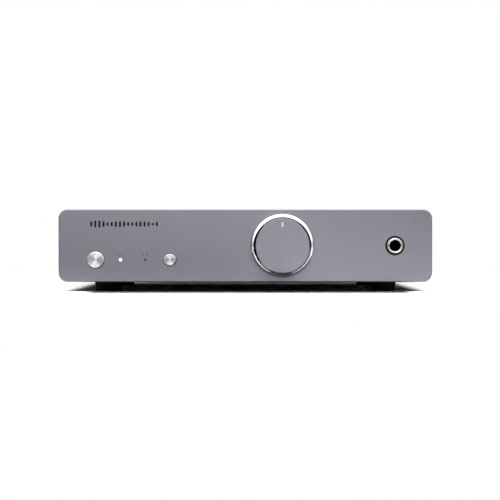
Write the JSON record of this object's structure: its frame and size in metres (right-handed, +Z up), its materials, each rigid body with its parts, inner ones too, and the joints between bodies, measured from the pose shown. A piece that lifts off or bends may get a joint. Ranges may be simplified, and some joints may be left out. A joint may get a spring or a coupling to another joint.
{
  "type": "headphone amplifier",
  "caption": "Desktop headphone amplifier: low metal case, thick anodised fascia, round volume knob, power and source buttons, and a 6.35 mm socket.",
  "frame": {"origin": "centre of the overall width and depth, on the surface that the feet stand on", "axes": "+X to the right of someone facing the fascia, +Y towards the rear sockets, +Z up"},
  "size_m": [0.215, 0.159, 0.0475],
  "materials": {
    "anodised_fascia": "fine bead-blasted, clear anodised",
    "anodised_knob": "fine bead-blasted face, clear anodised, with a polished rim",
    "turned_aluminium": "faced on a lathe, concentric turning marks, clear anodised",
    "powder_coat": "fine-textured silver-grey powder coat on steel",
    "black_plastic": "moulded, fine satin texture",
    "bright_plate": "bright nickel plate",
    "nickel_steel": "nickel-plated steel",
    "black_screws": "black zinc plate",
    "gold_plate": "thin gold plate on brass",
    "white_insulator": "moulded white plastic",
    "red_insulator": "moulded red plastic",
    "lit_lens": "clear light pipe, lit white from behind",
    "dark_lens": "clear light pipe, unlit",
    "led_body": "white light-emitting diode package",
    "foot_rubber": "moulded black rubber",
    "circuit_board": "green solder mask on glass fibre",
    "ribbon_grey": "grey flat cable",
    "capacitor_sleeve": "shrink sleeve on an aluminium can",
    "capacitor_film": "dipped film capacitor",
    "relay_case": "moulded relay case",
    "black_anodised": "black anodised extrusion",
    "resistor_body": "lacquered metal-film resistor",
    "pot_case": "moulded potentiometer case",
    "core_steel": "varnished steel laminations",
    "winding_tape": "yellow winding tape on a bobbin",
    "fuse_glass": "glass tube with plated end caps"
  },
  "bodies": {
    "root": {"board_screws": "nickel_steel", "board_standoffs": "nickel_steel", "bottom_tray": "powder_coat", "control_board": "circuit_board", "cover_screws": "black_screws", "electrolytic_capacitors": "capacitor_sleeve", "fascia_screws": "nickel_steel", "film_capacitors": "capacitor_film", "foot_front_left": "foot_rubber", "foot_front_right": "foot_rubber", "foot_rear_left": "foot_rubber", "foot_rear_right": "foot_rubber", "foot_screws": "nickel_steel", "front_panel": "anodised_fascia", "fuse_clips": "nickel_steel", "ground_lock_nut": "nickel_steel", "ground_stud": "gold_plate", "heatsink": "black_anodised", "indicator_leds": "led_body", "indicator_lens_1": "lit_lens", "indicator_lens_2": "dark_lens", "inlet_pins": "bright_plate", "jack_collar": "bright_plate", "jack_contacts": "bright_plate", "jack_housing": "black_plastic", "main_board": "circuit_board", "mains_fuse": "fuse_glass", "mains_inlet": "black_plastic", "op_amps": "black_plastic", "output_transistors": "black_plastic", "potentiometer_body": "pot_case", "potentiometer_nut": "nickel_steel", "potentiometer_washer": "nickel_steel", "rear_panel": "powder_coat", "rear_panel_screws": "black_screws", "resistors": "resistor_body", "ribbon_cable": "ribbon_grey", "ribbon_headers": "black_plastic", "signal_relays": "relay_case", "socket_blocks": "black_plastic", "socket_contacts": "gold_plate", "socket_insulators_left": "white_insulator", "socket_insulators_right": "red_insulator", "socket_shells": "gold_plate", "switch_bodies": "black_plastic", "top_cover": "powder_coat", "transformer_core": "core_steel", "transformer_winding": "winding_tape"},
    "volume": {"volume_knob": "anodised_knob", "knob_hub": "black_plastic", "volume_shaft": "nickel_steel", "potentiometer_rotor": "pot_case"},
    "power_button": {"power_button_cap": "turned_aluminium", "power_button_carrier": "black_plastic", "power_switch_plunger": "black_plastic"},
    "source_button": {"source_button_cap": "turned_aluminium", "source_button_carrier": "black_plastic", "source_switch_plunger": "black_plastic"},
    "ground_washer": {"ground_washer": "gold_plate"},
    "ground_nut": {"ground_thumb_nut": "gold_plate"}
  },
  "joints": [
    {"name": "volume_turn", "type": "hinge", "parent": "root", "child": "volume", "pos_m": [0.021, -0.0795, 0.0265], "axis": [0, 1, 0], "range_deg": [-150, 150]},
    {"name": "power_press", "type": "slide", "parent": "root", "child": "power_button", "axis": [0, 1, 0], "range_m": [0, 0.0008], "stiffness_N_per_m": 1000, "springref_m": -0.0005},
    {"name": "source_press", "type": "slide", "parent": "root", "child": "source_button", "axis": [0, 1, 0], "range_m": [0, 0.0008], "stiffness_N_per_m": 1000, "springref_m": -0.0005},
    {"name": "ground_nut_lift", "type": "slide", "parent": "root", "child": "ground_washer", "axis": [0, 1, 0], "range_m": [0, 0.00209]},
    {"name": "ground_nut_turn", "type": "hinge", "parent": "ground_washer", "child": "ground_nut", "pos_m": [0.082, 0.0795, 0.0265], "axis": [0, 1, 0], "range_deg": [0, 1080]}
  ],
  "couplings": [
    {"joint": "ground_nut_turn", "follows": "ground_nut_lift", "rad_per_m": 8976}
  ]
}
